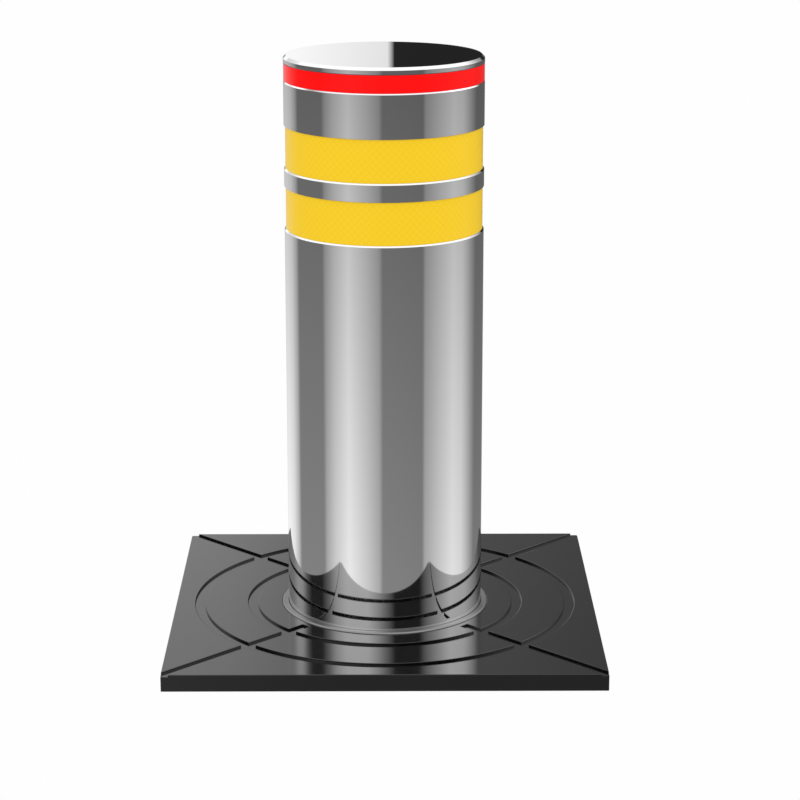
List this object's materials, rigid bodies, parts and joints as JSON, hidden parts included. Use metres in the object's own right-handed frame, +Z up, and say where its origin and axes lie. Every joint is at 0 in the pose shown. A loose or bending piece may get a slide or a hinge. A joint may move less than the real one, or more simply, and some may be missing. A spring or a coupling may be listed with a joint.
{
  "type": "retractable bollard",
  "caption": "Steel security bollard that a hydraulic ram raises out of a casing sunk in the ground, with reflective strips and a red light ring.",
  "frame": {"origin": "on the bollard's axis, in the underside of the cover plate, which is the finished ground level", "axes": "+Z up along the bollard's axis, -Y towards the front edge of the square cover plate, +X to its right"},
  "size_m": [0.4795, 0.475, 1.613],
  "materials": {
    "polished_steel": "mirror-polished stainless steel",
    "cap_steel": "mirror-polished stainless steel disc",
    "reflective_film": "smooth retroreflective film",
    "red_lens": "clear-coated diffusing acrylic",
    "black_plate": "glossy black powder coat",
    "trim_steel": "satin stainless",
    "seal_rubber": "smooth moulded rubber",
    "buffer_rubber": "matt moulded rubber",
    "nylon": "machined cast nylon",
    "galvanised_steel": "hot-dip galvanised, dull spangle",
    "plain_steel": "turned mild steel",
    "ground_chrome": "ground hard chrome",
    "zinc_fixing": "bright zinc plating",
    "cast_aluminium": "machined block",
    "painted_unit": "grey-blue enamel",
    "winding": "varnished copper winding on steel stack",
    "circuit_board": "white solder mask",
    "diode_lens": "clear cap over red chip",
    "valve_brass": "machined brass",
    "knob_plastic": "moulded red knob",
    "pit_pipe": "extruded pipe"
  },
  "bodies": {
    "ground_unit": {"cover_plate": "black_plate", "wiper_seal": "seal_rubber", "trim_ring": "trim_steel", "guide_carrier": "galvanised_steel", "guide_carrier_screws": "zinc_fixing", "guide_bush_upper": "nylon", "guide_bush_lower": "nylon", "upper_stop_ring": "buffer_rubber", "casing_flange": "galvanised_steel", "casing_tube": "galvanised_steel", "drain_spigot": "pit_pipe", "conduit_spigot": "pit_pipe", "casing_gussets": "galvanised_steel", "casing_base_plate": "galvanised_steel", "guide_rails": "plain_steel", "buffer_posts": "galvanised_steel", "buffer_pads": "buffer_rubber", "ram_barrel": "painted_unit", "ram_gland": "plain_steel", "rod_wiper": "seal_rubber", "return_pipe": "plain_steel", "pump_block": "cast_aluminium", "pump_cover": "cast_aluminium", "block_screws": "zinc_fixing", "pump_cover_screws": "zinc_fixing", "motor_adapter": "cast_aluminium", "motor_housing": "painted_unit", "motor_stator": "winding", "motor_end_cap": "cast_aluminium", "motor_bearings": "plain_steel", "oil_tank": "painted_unit", "tank_lid": "cast_aluminium", "release_valve_cartridge": "valve_brass", "unit_clamp": "cast_aluminium"},
    "bollard": {"bollard_tube": "polished_steel", "reflective_strip_upper": "reflective_film", "reflective_strip_lower": "reflective_film", "light_ring_lens": "red_lens", "lens_gasket": "seal_rubber", "light_board": "circuit_board", "light_diodes": "diode_lens", "top_cap": "cap_steel", "head_plate": "plain_steel", "cap_studs": "zinc_fixing", "cap_nuts": "zinc_fixing", "stop_collar": "plain_steel", "guide_shoe_1": "nylon", "guide_shoe_2": "nylon", "guide_shoe_3": "nylon", "shoe_screws": "zinc_fixing", "ram_rod": "ground_chrome", "rod_nut": "zinc_fixing", "piston": "plain_steel", "piston_rings": "seal_rubber", "piston_nut": "zinc_fixing"},
    "pump_shaft": {"motor_shaft": "ground_chrome", "motor_rotor": "plain_steel", "drive_gear": "plain_steel"},
    "pump_idler": {"driven_gear": "plain_steel"},
    "release_valve": {"release_knob": "knob_plastic"}
  },
  "joints": [
    {"name": "lift", "type": "slide", "parent": "ground_unit", "child": "bollard", "axis": [0, 0, 1], "range_m": [-0.62, 0]},
    {"name": "pump_spin", "type": "hinge", "parent": "ground_unit", "child": "pump_shaft", "pos_m": [0.064, 0, -0.9], "axis": [0, 0, 1], "continuous": true},
    {"name": "idler_spin", "type": "hinge", "parent": "ground_unit", "child": "pump_idler", "pos_m": [0.064, -0.024, -0.9], "axis": [0, 0, 1], "continuous": true},
    {"name": "release_turn", "type": "hinge", "parent": "ground_unit", "child": "release_valve", "pos_m": [0, 0.04, -0.88], "axis": [0, 0, 1], "range_deg": [0, 270]}
  ],
  "couplings": [
    {"joint": "idler_spin", "follows": "pump_spin", "ratio": -1}
  ]
}
